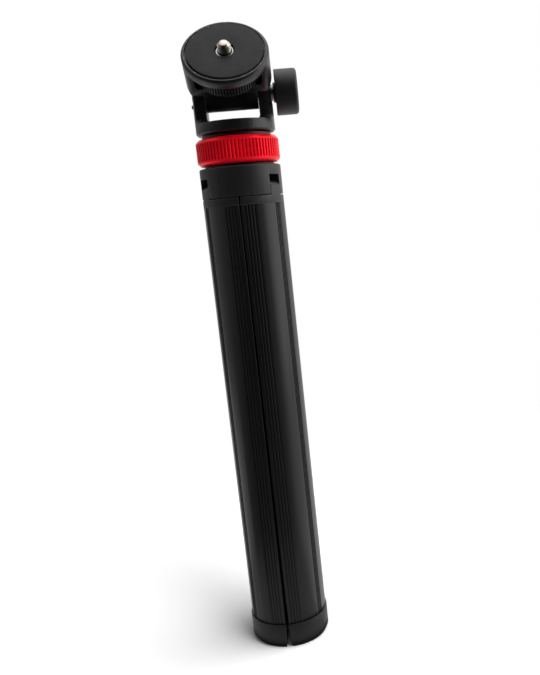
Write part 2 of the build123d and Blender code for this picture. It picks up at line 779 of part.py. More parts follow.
with BuildPart() as rubber_pad:
    with BuildSketch(head_front):
        with BuildLine():
            Polyline(
                (pad_bore, pad_seat),
                (pad_radius, pad_seat),
                (pad_radius, pad_top - pad_edge_chamfer),
                (pad_radius - pad_edge_chamfer, pad_top),
                (pad_bore, pad_top),
                close=True,
            )
        make_face()
    revolve(axis=head_line)
rubber_pad.part.label = "rubber_pad"
export_step(rubber_pad.part, "parts/rubber_pad.step")

# Thumb wheel in the window, with a boss up through the plate and the camera screw pressed into it
with BuildPart() as thumb_wheel:
    with BuildSketch(head_front):
        with BuildLine():
            Polyline(
                (camera_screw_neck_radius, wheel_bottom),
                (wheel_radius - wheel_chamfer, wheel_bottom),
                (wheel_radius, wheel_bottom + wheel_chamfer),
                (wheel_radius, wheel_top - wheel_chamfer),
                (wheel_radius - wheel_chamfer, wheel_top),
                (wheel_boss_radius, wheel_top),
                (wheel_boss_radius, boss_top),
                (camera_screw_neck_radius, boss_top),
                close=True,
            )
        make_face()
    revolve(axis=head_line)
    with BuildSketch(head.offset(wheel_bottom)):
        with PolarLocations(wheel_radius + wheel_knurl_radius - wheel_knurl_depth, wheel_knurl_count):
            Circle(wheel_knurl_radius)
    extrude(amount=wheel_top - wheel_bottom, mode=Mode.SUBTRACT)
thumb_wheel.part.label = "thumb_wheel"
export_step(thumb_wheel.part, "parts/thumb_wheel.step")

# Camera screw: a plain neck in the wheel, and above the pad the thread as its outer size
with BuildPart() as camera_screw:
    with BuildSketch(head_front):
        with BuildLine():
            Polyline(
                (0, wheel_bottom),
                (camera_screw_neck_radius, wheel_bottom),
                (camera_screw_neck_radius, pad_top),
                (camera_screw_radius, pad_top),
                (camera_screw_radius, pad_top + camera_screw_stand - camera_screw_tip),
                (camera_screw_radius - camera_screw_tip, pad_top + camera_screw_stand),
                (0, pad_top + camera_screw_stand),
                close=True,
            )
        make_face()
    revolve(axis=head_line)
camera_screw.part.label = "camera_screw"
export_step(camera_screw.part, "parts/camera_screw.step")
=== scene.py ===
import json
from math import cos, degrees, pi, radians, sin, tan

import bmesh
import bpy
from mathutils import Matrix, Vector

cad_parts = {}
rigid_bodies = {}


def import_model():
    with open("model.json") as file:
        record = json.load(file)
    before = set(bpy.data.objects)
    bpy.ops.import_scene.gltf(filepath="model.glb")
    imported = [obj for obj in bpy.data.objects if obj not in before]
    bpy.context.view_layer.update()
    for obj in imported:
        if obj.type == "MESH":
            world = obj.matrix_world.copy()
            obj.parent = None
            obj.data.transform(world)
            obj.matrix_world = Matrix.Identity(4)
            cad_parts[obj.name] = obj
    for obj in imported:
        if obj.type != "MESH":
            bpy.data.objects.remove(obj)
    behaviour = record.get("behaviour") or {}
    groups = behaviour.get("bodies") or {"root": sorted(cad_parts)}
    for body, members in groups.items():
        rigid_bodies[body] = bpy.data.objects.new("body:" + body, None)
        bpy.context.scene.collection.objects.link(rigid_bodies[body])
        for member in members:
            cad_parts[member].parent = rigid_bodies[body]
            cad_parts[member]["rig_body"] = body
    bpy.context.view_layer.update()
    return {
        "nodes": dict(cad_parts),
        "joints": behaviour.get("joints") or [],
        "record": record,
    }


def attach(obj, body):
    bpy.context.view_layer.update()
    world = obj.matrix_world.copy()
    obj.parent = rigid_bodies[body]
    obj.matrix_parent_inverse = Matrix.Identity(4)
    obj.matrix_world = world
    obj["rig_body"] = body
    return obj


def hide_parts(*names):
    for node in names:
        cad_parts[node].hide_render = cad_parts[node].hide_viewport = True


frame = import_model()

# Lengths below are in millimetres, and the scene is in metres
mm = 0.001
joints = {joint["name"]: joint for joint in frame["joints"]}
slotOf = {entry["node"]: entry["material_slot"] for entry in frame["record"]["subparts"]}
bodyOf = {node: item["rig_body"] for node, item in frame["nodes"].items()}


# Helpers

arcStep = 18          # degrees between two points of an outline's arc
seamReach = 0.002     # how near two points are for a seam to close


def linearColour(hexText):
    # sRGB hex to the linear values that the shaders take
    shares = [int(hexText[start:start + 2], 16) / 255 for start in (0, 2, 4)]
    return [share / 12.92 if share <= 0.04045 else ((share + 0.055) / 1.055) ** 2.4 for share in shares] + [1]


def addNode(tree, kind, inputs=None, **settings):
    # One node with its settings, and a value or a link for each named or numbered input
    node = tree.nodes.new(kind)
    for setting, value in settings.items():
        setattr(node, setting, value)
    for socket, value in (inputs or {}).items():
        if isinstance(value, bpy.types.NodeSocket):
            tree.links.new(value, node.inputs[socket])
        else:
            node.inputs[socket].default_value = value
    return node


def arithmetic(tree):
    # A chain of plain arithmetic reads better with one short word for it
    def maths(operation, *values, clamp=False):
        inputs = dict(enumerate(values))
        return addNode(tree, "ShaderNodeMath", inputs, operation=operation, use_clamp=clamp).outputs[0]

    return maths


def spread(tree, value, before, after=(0.0, 1.0), smooth=False):
    # A value moved from one range to another, and held at both ends
    return addNode(tree, "ShaderNodeMapRange", {
        "Value": value, "From Min": before[0], "From Max": before[1], "To Min": after[0], "To Max": after[1],
    }, interpolation_type="SMOOTHSTEP" if smooth else "LINEAR").outputs[0]


def joinCollection(item):
    bpy.context.scene.collection.objects.link(item)
    return item


def placeFrom(origin, along, across=Vector((1, 0, 0))):
    # A place whose Z runs along one direction and whose X stays near another, in metres
    upward = Vector(along).normalized()
    sideways = (Vector(across) - upward * upward.dot(Vector(across))).normalized()
    facing = Matrix((sideways, upward.cross(sideways), upward)).transposed()
    return Matrix.Translation(origin) @ facing.to_4x4()


def spreadOf(node, place):
    # A CAD node's lowest and highest corner in its own place, in millimetres
    inverse = place.inverted()
    spots = [inverse @ vertex.co / mm for vertex in frame["nodes"][node].data.vertices]
    low = Vector([min(spot[axis] for spot in spots) for axis in range(3)])
    high = Vector([max(spot[axis] for spot in spots) for axis in range(3)])
    return low, high


def rounded(corners):
    # An outline through corners of (across, up, radius), each corner turned by a small arc
    outline = []
    last = len(corners) - 1
    for index, (across, up, radius) in enumerate(corners):
        here = Vector((across, up))
        if radius == 0 or index in (0, last):
            outline.append(here)
            continue
        before = (Vector(corners[index - 1][:2]) - here).normalized()
        after = (Vector(corners[index + 1][:2]) - here).normalized()
        half = before.angle(after) / 2
        centre = here + (before + after).normalized() * (radius / sin(half))
        start = here + before * (radius / tan(half)) - centre
        side = 1 if before.x * after.y - before.y * after.x < 0 else -1
        sweep = pi - 2 * half
        steps = max(2, round(degrees(sweep) / arcStep))
        for part in range(steps + 1):
            bend = side * sweep * part / steps
            outline.append(centre + Matrix.Rotation(bend, 2) @ start)
    return outline


def evaluatedMesh(holder):
    graph = bpy.context.evaluated_depsgraph_get()
    graph.update()
    return bpy.data.meshes.new_from_object(holder.evaluated_get(graph), depsgraph=graph)


def finishPiece(name, mesh, body, nodes, sharpAngle=32):
    # A finished mesh as a piece that rides its body and stands for the CAD nodes
    mesh.name = name
    mesh.shade_smooth()
    mesh.set_sharp_from_angle(angle=radians(sharpAngle))
    piece = joinCollection(bpy.data.objects.new(name, mesh))
    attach(piece, body)
    if nodes:
        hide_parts(*nodes)


# Geometry trees

def newTree(name, wholeLabels, realLabels):
    # A geometry tree that takes a shape, whole numbers, real numbers and a finish
    tree = bpy.data.node_groups.new(name, "GeometryNodeTree")
    labels = [("Geometry", "NodeSocketGeometry")]
    labels += [(label, "NodeSocketInt") for label in wholeLabels]
    labels += [(label, "NodeSocketFloat") for label in realLabels]
    labels += [("Finish", "NodeSocketMaterial")]
    for label, kind in labels:
        tree.interface.new_socket(label, in_out="INPUT", socket_type=kind)
    tree.interface.new_socket("Geometry", in_out="OUTPUT", socket_type="NodeSocketGeometry")
    return tree, addNode(tree, "NodeGroupInput").outputs


def gridPlaces(tree, segments, rows):
    # A grid with one column more than the segments, and each point's row and share of a turn
    maths = arithmetic(tree)
    columns = maths("ADD", segments, 1)
    grid = addNode(tree, "GeometryNodeMeshGrid", {"Vertices X": columns, "Vertices Y": rows}).outputs["Mesh"]
    index = addNode(tree, "GeometryNodeInputIndex").outputs[0]
    # The half keeps rounding from dropping a point into the column before
    column = maths("FLOOR", maths("DIVIDE", maths("ADD", index, 0.5), rows))
    row = maths("SUBTRACT", index, maths("MULTIPLY", column, rows))
    return grid, row, maths("DIVIDE", column, segments)


def wrapGrid(tree, grid, radius, around, height, finish):
    # The grid wrapped round Z, closed where it meets itself, in its finish
    maths = arithmetic(tree)
    angle = maths("MULTIPLY", around, 2 * pi)
    place = addNode(tree, "ShaderNodeCombineXYZ", {
        "X": maths("MULTIPLY", radius, maths("COSINE", angle)),
        "Y": maths("MULTIPLY", radius, maths("SINE", angle)),
        "Z": height,
    }).outputs[0]
    shape = addNode(tree, "GeometryNodeSetPosition", {"Geometry": grid, "Position": place}).outputs[0]
    shape = addNode(tree, "GeometryNodeMergeByDistance", {
        "Geometry": shape, "Distance": seamReach * mm,
    }).outputs[0]
    shape = addNode(tree, "GeometryNodeRealizeInstances", {"Geometry": shape}).outputs[0]
    shape = addNode(tree, "GeometryNodeSetMaterial", {"Geometry": shape, "Material": finish}).outputs[0]
    addNode(tree, "NodeGroupOutput", {"Geometry": shape})


def turnedTree():
    # Spins an outline about Z and cuts flutes into its outer face
    tree, given = newTree("turned outline with flutes", ("Segments",), (
        "Flutes", "Flute Depth", "Ridge Share", "Flute Low", "Flute High", "Run Out", "Inner Limit",
    ))
    maths = arithmetic(tree)
    # Each point of the outline is one row of the grid
    rows = addNode(tree, "GeometryNodeAttributeDomainSize", {
        "Geometry": given["Geometry"],
    }).outputs["Point Count"]
    grid, row, around = gridPlaces(tree, given["Segments"], rows)
    spot = addNode(tree, "GeometryNodeSampleIndex", {
        "Geometry": given["Geometry"],
        "Value": addNode(tree, "GeometryNodeInputPosition").outputs[0],
        "Index": row,
    }, data_type="FLOAT_VECTOR").outputs["Value"]
    outline = addNode(tree, "ShaderNodeSeparateXYZ", {0: spot}).outputs
    # How deep the flute is at this angle: a round hollow between two ridges
    phase = maths("FRACT", maths("MULTIPLY", around, given["Flutes"]))
    fromMiddle = maths("ABSOLUTE", maths("SUBTRACT", maths("MULTIPLY", phase, 2), 1))
    hollow = maths("DIVIDE", fromMiddle, maths("SUBTRACT", 1, given["Ridge Share"]))
    dip = maths("SUBTRACT", 1, maths("MULTIPLY", hollow, hollow), clamp=True)
    # It runs out towards both ends and leaves the bore alone
    aboveLow = maths("SUBTRACT", outline["Z"], given["Flute Low"])
    belowHigh = maths("SUBTRACT", given["Flute High"], outline["Z"])
    fromLow = maths("DIVIDE", aboveLow, given["Run Out"], clamp=True)
    fromHigh = maths("DIVIDE", belowHigh, given["Run Out"], clamp=True)
    outside = maths("GREATER_THAN", outline["X"], given["Inner Limit"])
    cut = maths("MULTIPLY", maths("MULTIPLY", dip, maths("MULTIPLY", fromLow, fromHigh)), outside)
    radius = maths("SUBTRACT", outline["X"], maths("MULTIPLY", cut, given["Flute Depth"]))
    wrapGrid(tree, grid, radius, around, outline["Z"], given["Finish"])
    return tree


def threadTree():
    # A screw: a plain neck, then a thread that winds up a helix to a cone with a flat tip
    tree, given = newTree("rod with a screw thread", ("Segments", "Rows"), (
        "Radius", "Neck", "Thread Start", "Length", "Pitch", "Thread Depth", "Flat Share", "Tip Radius",
        "Tip Slope", "Tip Dish",
    ))
    maths = arithmetic(tree)
    grid, row, around = gridPlaces(tree, given["Segments"], given["Rows"])
    # The first and last rows close the ends at the axis
    endRow = maths("SUBTRACT", given["Rows"], 1.5)
    rise = maths("DIVIDE", maths("SUBTRACT", row, 1), maths("SUBTRACT", given["Rows"], 3), clamp=True)
    height = maths("MULTIPLY", rise, given["Length"])
    isTip = maths("GREATER_THAN", row, endRow)
    isEnd = maths("MAXIMUM", maths("LESS_THAN", row, 0.5), isTip)
    # Crest, flanks and root of the thread along the helix
    phase = maths("FRACT", maths("SUBTRACT", maths("DIVIDE", height, given["Pitch"]), around))
    flank = maths("ABSOLUTE", maths("SUBTRACT", maths("MULTIPLY", phase, 2), 1))
    slope = maths("SUBTRACT", 1, maths("MULTIPLY", given["Flat Share"], 2))
    groove = maths("DIVIDE", maths("SUBTRACT", flank, given["Flat Share"]), slope, clamp=True)
    threaded = maths("SUBTRACT", given["Radius"], maths("MULTIPLY", groove, given["Thread Depth"]))
    # The tip's cone cuts across the thread, and under its start the rod is plain
    fromTip = maths("SUBTRACT", given["Length"], height)
    cone = maths("ADD", given["Tip Radius"], maths("MULTIPLY", fromTip, given["Tip Slope"]))
    fromStart = maths("MAXIMUM", maths("SUBTRACT", height, given["Thread Start"]), 0)
    root = maths("ADD", given["Neck"], maths("MULTIPLY", fromStart, given["Tip Slope"]))
    radius = maths("MINIMUM", maths("MINIMUM", threaded, cone), root)
    radius = maths("MULTIPLY", radius, maths("SUBTRACT", 1, isEnd))
    dished = maths("SUBTRACT", height, maths("MULTIPLY", isTip, given["Tip Dish"]))
    wrapGrid(tree, grid, radius, around, dished, given["Finish"])
    return tree


turnedOutline = turnedTree()
threadedRod = threadTree()
noFlutes = {"count": 0, "depth": 0, "ridgeShare": 0.5, "low": 0, "high": 0, "runOut": 1, "innerLimit": 0}


def grow(name, tree, outline, values, place):
    # Runs a tree on an outline given in millimetres and returns the plain mesh in its place
    seed = bpy.data.meshes.new(name)
    spots = [(point[0] * mm, 0, point[1] * mm) for point in outline]
    seed.from_pydata(spots, [(index, index + 1) for index in range(len(spots) - 1)], [])
    holder = joinCollection(bpy.data.objects.new(name, seed))
    modifier = holder.modifiers.new("tree", "NODES")
    modifier.node_group = tree
    for socket in tree.interface.items_tree:
        if socket.in_out == "INPUT" and socket.name in values:
            modifier[socket.identifier] = values[socket.name]
    mesh = evaluatedMesh(holder)
    holder.modifiers.clear()
    bpy.data.objects.remove(holder)
    shape = bmesh.new()
    shape.from_mesh(mesh)
    bmesh.ops.recalc_face_normals(shape, faces=shape.faces)
    if shape.calc_volume(signed=True) < 0:
        bmesh.ops.reverse_faces(shape, faces=shape.faces)
    shape.transform(place)
    shape.to_mesh(mesh)
    shape.free()
    return mesh


def makeTurned(name, outline, body, nodes, slotName, segments, place=Matrix(), flutes=noFlutes):
    # A turned piece from its half outline of (radius, height)
    values = {
        "Segments": segments, "Flutes": float(flutes["count"]), "Flute Depth": flutes["depth"] * mm,
        "Ridge Share": flutes["ridgeShare"], "Flute Low": flutes["low"] * mm,
        "Flute High": flutes["high"] * mm, "Run Out": flutes["runOut"] * mm,
        "Inner Limit": flutes["innerLimit"] * mm, "Finish": finishes[slotName],
    }
    finishPiece(name, grow(name, turnedOutline, outline, values, place), body, nodes)


def soften(node, name, width):
    # A copy of a CAD node with its seams closed and a small round on every hard edge
    sizes = {"seam": 0.001, "flatAngle": 0.4, "segments": 2, "hardAngle": 28}
    mesh = frame["nodes"][node].data.copy()
    shape = bmesh.new()
    shape.from_mesh(mesh)
    bmesh.ops.remove_doubles(shape, verts=shape.verts, dist=sizes["seam"] * mm)
    bmesh.ops.dissolve_degenerate(shape, edges=shape.edges, dist=sizes["seam"] * mm)
    flatAngle = radians(sizes["flatAngle"])
    bmesh.ops.dissolve_limit(shape, angle_limit=flatAngle, verts=shape.verts, edges=shape.edges)
    shape.to_mesh(mesh)
    shape.free()
    mesh.materials.clear()
    mesh.materials.append(finishes[slotOf[node]])
    mesh.shade_smooth()
    holder = joinCollection(bpy.data.objects.new(name, mesh))
    bevel = holder.modifiers.new("edge round", "BEVEL")
    bevel.width = width * mm
    bevel.segments = sizes["segments"]
    bevel.limit_method = "ANGLE"
    bevel.angle_limit = radians(sizes["hardAngle"])
    bevel.use_clamp_overlap = True
    bevel.harden_normals = True
    made = evaluatedMesh(holder)
    bpy.data.objects.remove(holder)
    made.name = name
    piece = joinCollection(bpy.data.objects.new(name, made))
    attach(piece, bodyOf[node])
    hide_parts(node)


print("trees built")


# Finishes

# How much a short ray finds open, inside or outside a surface: where edge wear with its painted highlight,
# and the painted groove shade, start, and where they are full
rayShares = {"samples": 8, "edgeShares": (0.85, 0.55), "grooveShares": (0.88, 0.5)}


def newFinish(name, colour, metallic, roughness, **settings):
    # A named material with its plain values on the shader's own sockets
    finish = bpy.data.materials.new(name)
    finish.use_nodes = True
    tree = finish.node_tree
    shader = tree.nodes["Principled BSDF"]
    shader.inputs["Base Color"].default_value = linearColour(colour)
    shader.inputs["Metallic"].default_value = metallic
    shader.inputs["Roughness"].default_value = roughness
    for socket, value in settings.items():
        shader.inputs[socket.replace("_", " ")].default_value = value
    return finish, tree, shader


def patternSpace(tree, spans):
    # Object coordinates in which one step is the given span on each axis, in millimetres
    spot = addNode(tree, "ShaderNodeTexCoord").outputs["Object"]
    return addNode(tree, "ShaderNodeMapping", {
        "Vector": spot, "Scale": [1 / span / mm for span in spans],
    }).outputs[0]


def noise(tree, spans, detail=2.0, fineness=0.5):
    return addNode(tree, "ShaderNodeTexNoise", {
        "Vector": patternSpace(tree, spans), "Scale": 1.0, "Detail": detail, "Roughness": fineness,
    }).outputs[0]


def raiseGrain(tree, shader, height, strength, distance):
    # Bump from a height, its distance a real one in millimetres
    bump = addNode(tree, "ShaderNodeBump", {
        "Height": height, "Strength": strength, "Distance": distance * mm,
    })
    tree.links.new(bump.outputs[0], shader.inputs["Normal"])


def varyRoughness(tree, shader, pattern, low, high):
    tree.links.new(spread(tree, pattern, (0, 1), (low, high)), shader.inputs["Roughness"])


def varyColour(tree, shader, pattern, first, second, low=0.35, high=0.65):
    # Two near shades, which a pattern mixes between its low and high values
    ramp = addNode(tree, "ShaderNodeValToRGB", {"Fac": pattern})
    ramp.color_ramp.elements[0].position = low
    ramp.color_ramp.elements[0].color = linearColour(first)
    ramp.color_ramp.elements[1].position = high
    ramp.color_ramp.elements[1].color = linearColour(second)
    tree.links.new(ramp.outputs[0], shader.inputs["Base Color"])
    return ramp.outputs[0]


def edgeShare(tree, reach):
    # One along outer edges, where handling rubs a surface and the finishes paint a highlight, and nothing on
    # open faces
    inside = addNode(tree, "ShaderNodeAmbientOcclusion", {"Distance": reach * mm},
                     inside=True, only_local=True, samples=rayShares["samples"])
    return spread(tree, inside.outputs["AO"], rayShares["edgeShares"])


def grooveShadeShare(tree, reach):
    # One deep in grooves and seams and where parts touch, for painted shade there, and nothing on open faces
    around = addNode(tree, "ShaderNodeAmbientOcclusion", {"Distance": reach * mm}, samples=rayShares["samples"])
    return spread(tree, around.outputs["AO"], rayShares["grooveShares"])


def wearAndPaintedLight(tree, shader, pattern, sizes, roughness, colours, metal=0.0):
    # A pattern varies the roughness, and rubbed edges are smooth and lighter, which is partly wear and partly
    # a painted highlight.
    # Grooves, seams and places where parts touch get painted shade: a dark metal gives back almost nothing,
    # which is how a deep groove in shade looks.
    edge = edgeShare(tree, sizes["edge"])
    groove = grooveShadeShare(tree, sizes["groove"])
    low, high, rubbed = roughness
    value = spread(tree, pattern, (0, 1), (low, high))
    value = addNode(tree, "ShaderNodeMix", {0: edge, 2: value, 3: rubbed}).outputs[0]
    tree.links.new(value, shader.inputs["Roughness"])
    plain, wornAndHighlit, paintedShade = (linearColour(hexText) for hexText in colours)
    colour = addNode(tree, "ShaderNodeMix", {0: edge, 6: plain, 7: wornAndHighlit}, data_type="RGBA").outputs[2]
    colour = addNode(tree, "ShaderNodeMix", {0: groove, 6: colour, 7: paintedShade}, data_type="RGBA").outputs[2]
    tree.links.new(colour, shader.inputs["Base Color"])
    tree.links.new(spread(tree, groove, (0, 1), (metal, 1)), shader.inputs["Metallic"])


def railFinish():
    # 6063 aluminium, extruded and black anodised: satin, with faint die lines along its length, and
    # rubbed a little lighter along its corners, which is partly wear and partly a painted highlight; its
    # grooves and seams get painted shade. Real die lines are about 0.1 mm apart, and these are drawn at 0.6
    # mm so that they show.
    sizes = {"dieLine": 0.6, "streak": 60, "edge": 0.4, "groove": 0.8}
    finish, tree, shader = newFinish("black anodised extrusion", "0d0d0e", metallic=0.0, roughness=0.38,
                                     Specular_IOR_Level=0.43)
    lines = noise(tree, (sizes["dieLine"], sizes["dieLine"], sizes["streak"]))
    wearAndPaintedLight(tree, shader, lines, sizes, roughness=(0.34, 0.42, 0.24),
                colours=("09090a", "2c2c2e", "020202"))
    raiseGrain(tree, shader, lines, strength=0.2, distance=0.02)
    return finish


def tubeFinish():
    # Drawn aluminium tube, black anodised: smoother and glossier than the rails, with fine lines along it
    sizes = {"drawLine": 0.5, "streak": 90}
    finish, tree, shader = newFinish("black anodised drawn tube", "19191a", metallic=0.0, roughness=0.3,
                                     Specular_IOR_Level=0.55)
    lines = noise(tree, (sizes["drawLine"], sizes["drawLine"], sizes["streak"]))
    varyColour(tree, shader, lines, "171718", "1c1c1d")
    varyRoughness(tree, shader, lines, low=0.26, high=0.34)
    raiseGrain(tree, shader, lines, strength=0.2, distance=0.015)
    return finish


def redFinish():
    # Turned aluminium under a red dyed anodic layer: a deep clear red that the metal under it lights up,
    # with painted shade in the flutes, and lighter edges that are partly wear and partly a painted highlight.
    # The lathe's feed marks are about 0.1 mm apart, and these are drawn at 0.35 mm so that they show.
    sizes = {"feedMark": 0.35, "around": 12, "groove": 0.8, "edge": 0.35}
    red, metal = "f01024", 0.5
    finish, tree, shader = newFinish("red anodised turned aluminium", red, metallic=metal, roughness=0.3,
                                     Specular_IOR_Level=0.15)
    marks = noise(tree, (sizes["around"], sizes["around"], sizes["feedMark"]))
    wearAndPaintedLight(tree, shader, marks, sizes, roughness=(0.24, 0.34, 0.16), colours=(red, "ff2438", "4a0206"),
                metal=metal)
    raiseGrain(tree, shader, marks, strength=0.2, distance=0.012)
    return finish


def nylonFinish():
    # Glass filled nylon, injection moulded in a spark eroded tool: black, with a fine even grain.
    # The real grain is about 0.25 mm across, and this is drawn at 0.45 mm so that it shows.
    sizes = {"grain": 0.45, "edge": 0.4, "groove": 0.7}
    finish, tree, shader = newFinish("moulded black nylon", "141415", metallic=0.0, roughness=0.44, IOR=1.5)
    grain = noise(tree, (sizes["grain"],) * 3, fineness=0.6)
    # The lighter edges are partly wear and partly a painted highlight, and grooves and seams get painted
    # shade
    wearAndPaintedLight(tree, shader, grain, sizes, roughness=(0.38, 0.52, 0.3),
                colours=("131314", "38383a", "020202"))
    raiseGrain(tree, shader, grain, strength=0.8, distance=0.04)
    return finish


def headFinish():
    # Die cast aluminium under a thin satin black coat: fine soft grain, a little glossier than the mouldings.
    # The coat is rubbed smooth along the outer edges, and through to the metal at a few points of them; the
    # edges are also painted lighter, partly as wear and partly as a painted highlight.
    sizes = {"grain": 0.35, "cloud": 7, "edge": 0.45, "rub": 1.6}
    finish, tree, shader = newFinish("satin black coated casting", "0d0d0e", metallic=0.0, roughness=0.36)
    maths = arithmetic(tree)
    grain = noise(tree, (sizes["grain"],) * 3)
    cloud = noise(tree, (sizes["cloud"],) * 3)
    rub = noise(tree, (sizes["rub"],) * 3, detail=3.0)
    edge = edgeShare(tree, sizes["edge"])
    satin, rubbed = (0.32, 0.4), 0.16
    value = spread(tree, cloud, (0, 1), satin)
    value = addNode(tree, "ShaderNodeMix", {0: edge, 2: value, 3: rubbed}).outputs[0]
    tree.links.new(value, shader.inputs["Roughness"])
    # The noise is over the first of these at about a third of an edge, and over the second at a few points
    rubStart, rubFull = 0.55, 0.66
    bare = maths("MULTIPLY", spread(tree, rub, (rubStart, rubFull)), edge)
    tree.links.new(bare, shader.inputs["Metallic"])
    # Along the edges this much of the metal's grey shows, partly where the coat is thin and partly as a
    # painted highlight
    thinCoatAndHighlightShare = 0.09
    varyColour(tree, shader, maths("MULTIPLY_ADD", edge, thinCoatAndHighlightShare, bare), "0d0d0e", "a4a4a6", low=0, high=1)
    raiseGrain(tree, shader, grain, strength=0.25, distance=0.015)
    return finish


def knobFinish(name, roughness, gloss):
    # Turned and black anodised: feed marks run round the axis and stretch the highlight across it.
    # Real marks are 0.08 mm apart, and these are drawn at 0.3 mm so that they show.
    sizes = {"feedMark": 0.3, "around": 20, "edge": 0.4, "groove": 0.9}
    black = "0d0d0e"
    finish, tree, shader = newFinish(name, black, metallic=0.0, roughness=0.36, Specular_IOR_Level=gloss)
    marks = noise(tree, (sizes["feedMark"], sizes["around"], sizes["around"]))
    # Lighter edges here are partly wear and partly a painted highlight, and the grooves get painted shade
    wearAndPaintedLight(tree, shader, marks, sizes, roughness, colours=(black, "2a2a2c", "020202"))
    raiseGrain(tree, shader, marks, strength=0.2, distance=0.01)
    return finish


def rubberFinish(name, dark, light, roughness):
    # Moulded rubber: no clear highlight, a fine pebble of about 0.4 mm and a few pale specks of dust
    sizes = {"pebble": 0.4, "cloud": 5, "dustApart": 5, "dustSpeck": 0.26}
    finish, tree, shader = newFinish(name, dark, metallic=0.0, roughness=roughness, IOR=1.5,
                                     Specular_IOR_Level=0.3)
    pebble = noise(tree, (sizes["pebble"],) * 3, fineness=0.6)
    shade = varyColour(tree, shader, noise(tree, (sizes["cloud"],) * 3, detail=3.0), dark, light)
    fromDust = addNode(tree, "ShaderNodeTexVoronoi", {
        "Vector": patternSpace(tree, (sizes["dustApart"],) * 3), "Scale": 1.0,
    }).outputs["Distance"]
    reach = sizes["dustSpeck"] / sizes["dustApart"]
    dust = spread(tree, fromDust, (reach, reach / 2))
    dusty = addNode(tree, "ShaderNodeMix", {0: dust, 6: shade, 7: linearColour("8f8d88")}, data_type="RGBA")
    tree.links.new(dusty.outputs[2], shader.inputs["Base Color"])
    smoother, rougher = 0.06, 0.08
    varyRoughness(tree, shader, pebble, low=roughness - smoother, high=roughness + rougher)
    raiseGrain(tree, shader, pebble, strength=0.6, distance=0.04)
    return finish


def stainlessFinish():
    # Bright stainless steel, rolled thread: clear metal with a warm tint and fine scuffs round the axis
    sizes = {"scuff": 0.25, "around": 3, "groove": 0.9}
    finish, tree, shader = newFinish("bright stainless steel", "cfc8bd", metallic=1.0, roughness=0.22)
    # Painted shade darkens the thread's roots
    paintedRootShade = grooveShadeShare(tree, sizes["groove"])
    varyColour(tree, shader, paintedRootShade, "c8c0b4", "3e372f", low=0.1, high=0.9)
    scuffs = noise(tree, (sizes["around"], sizes["scuff"], sizes["scuff"]))
    varyRoughness(tree, shader, scuffs, low=0.14, high=0.26)
    return finish


def zincFinish():
    # Zinc plated steel: a cool bright grey, slightly milky
    sizes = {"spangle": 1.1}
    finish, tree, shader = newFinish("zinc plated steel", "a2a4a6", metallic=1.0, roughness=0.36)
    spangle = noise(tree, (sizes["spangle"],) * 3, detail=3.0)
    varyColour(tree, shader, spangle, "949699", "aeb0b2")
    varyRoughness(tree, shader, spangle, low=0.28, high=0.42)
    return finish


def acetalFinish():
    # Acetal, machined or moulded: milky white and waxy
    sizes = {"wax": 3.5}
    finish, tree, shader = newFinish("natural acetal", "d9d5c8", metallic=0.0, roughness=0.38, IOR=1.48)
    wax = noise(tree, (sizes["wax"],) * 3)
    varyColour(tree, shader, wax, "d2cec0", "dedacd")
    varyRoughness(tree, shader, wax, low=0.34, high=0.44)
    return finish


finishes = {
    "black_anodised_rail": railFinish(),
    "black_anodised_tube": tubeFinish(),
    "red_anodised": redFinish(),
    "moulded_nylon": nylonFinish(),
    "black_cast_metal": headFinish(),
    "turned_black_metal": knobFinish("black anodised turned knob", (0.4, 0.5, 0.2), gloss=0.5),
    "knurled_black_metal": knobFinish("black anodised knurled wheel", (0.28, 0.36, 0.2), gloss=0.22),
    "pad_rubber": rubberFinish("dark grey pad rubber", "1b1b1c", "222223", roughness=0.62),
    "sole_rubber": rubberFinish("black sole rubber", "1c1c1c", "222222", roughness=0.7),
    "stainless_steel": stainlessFinish(),
    "zinc_steel": zincFinish(),
    "natural_acetal": acetalFinish(),
}
for node, item in frame["nodes"].items():
    item.data.materials.clear()
    item.data.materials.append(finishes[slotOf[node]])
# The pan disc shows under the yoke, where the gap lies in shade; the turned black finish paints it dark there
# as painted shade
frame["nodes"]["pan_base"].data.materials[0] = finishes["turned_black_metal"]
print("finishes made:", len(finishes))


# Stage, light and camera

studio = {
    "focal": 765,                      # pixels, in a frame of 540 by 675
    "frame": (540, 675),
    "principal": (341.9, 377.9),       # the pixel that the lens looks straight at
    "sensor": 36,
    "position": (41.5, -398.0, 231.55),
    "lookDown": 12.5,                  # degrees, like the roll
    "roll": 5.11,
    "clip": (1, 20000),
    "floor": 6000,
    "paper": (0.8, 1.32),              # the floor's colour for other rays, and as the camera sees it
    "paperSoft": (200, 500),           # how far from the feet it turns to plain white
    "shadeReach": 110,                 # how far the painted shadow by the feet reaches
    "shadeFrom": (0.68, -0.72, 0.14),  # towards the light that the painted shadow falls away from
    "shadeEdge": (24, -30),            # how far towards that light the painted shadow starts, and is full
    "shadeShares": (0.97, 0.4),        # how open the paper is where the painted shadow starts, and is full
    "worldFill": (0.0, 0.94),          # on the left and on the right
}

# Soft boxes: place and size, how bright their face is next to white, and whether gloss shows them
softBoxes = {
    "key soft box": {"spot": (620, -680, 900), "size": (600, 600), "level": 5.5, "mirrored": False},
    "right soft box": {"spot": (950, -60, 520), "size": (900, 900), "level": 1.2, "mirrored": True},
    "left soft box": {"spot": (-950, -100, 420), "size": (700, 900), "level": 0.4, "mirrored": True},
    "overhead soft box": {"spot": (200, 150, 1150), "size": (900, 800), "level": 0.9, "mirrored": True},
}
boxAim = (0, 0, 150)

